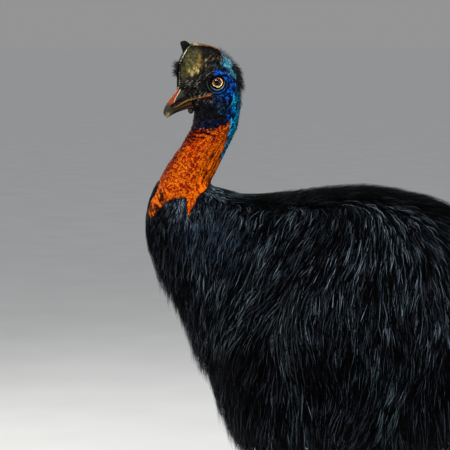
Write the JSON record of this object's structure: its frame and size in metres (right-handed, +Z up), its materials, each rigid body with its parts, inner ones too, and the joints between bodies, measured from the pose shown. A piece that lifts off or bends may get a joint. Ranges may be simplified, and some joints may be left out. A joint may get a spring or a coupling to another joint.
{
  "type": "northern cassowary, life-size still model",
  "caption": "Large black-plumed flightless bird standing still, bare blue and orange neck, low horny casque, heavy three-toed legs; a life-size display model.",
  "frame": {"origin": "on the floor under the middle of the whole bird", "axes": "+Z up, the bird faces -Y, its left side is +X"},
  "size_m": [0.413, 0.877, 1.3146],
  "materials": {
    "plumage": "long lax hair-like feathers, glossy blue-black",
    "skin_blue": "bare wrinkled skin, cobalt blue running to black and turquoise",
    "skin_orange": "bare beaded skin, orange with dark folds",
    "skin_black": "bare black skin",
    "casque_horn": "worn scuffed horn, olive brown to black",
    "bill_horn": "dark horn with ochre edges and orange ridge",
    "eye": "wet orange-brown iris, black pupil",
    "leg_scale": "grey-olive horny scales",
    "claw_horn": "dark blunt-edged horn"
  },
  "bodies": {
    "root": {"head": "skin_blue", "neck_upper": "skin_orange", "neck_lower": "plumage", "casque": "casque_horn", "bill_upper": "bill_horn", "bill_lower": "bill_horn", "wattle": "skin_black", "eye_L": "eye", "eye_R": "eye", "trunk": "plumage", "tail": "plumage", "wing_L": "plumage", "wing_R": "plumage", "thigh_L": "plumage", "tarsus_L": "leg_scale", "toe_middle_L": "leg_scale", "claw_middle_L": "claw_horn", "toe_inner_L": "leg_scale", "claw_inner_L": "claw_horn", "toe_outer_L": "leg_scale", "claw_outer_L": "claw_horn", "thigh_R": "plumage", "tarsus_R": "leg_scale", "toe_middle_R": "leg_scale", "claw_middle_R": "claw_horn", "toe_inner_R": "leg_scale", "claw_inner_R": "claw_horn", "toe_outer_R": "leg_scale", "claw_outer_R": "claw_horn"}
  },
  "joints": []
}
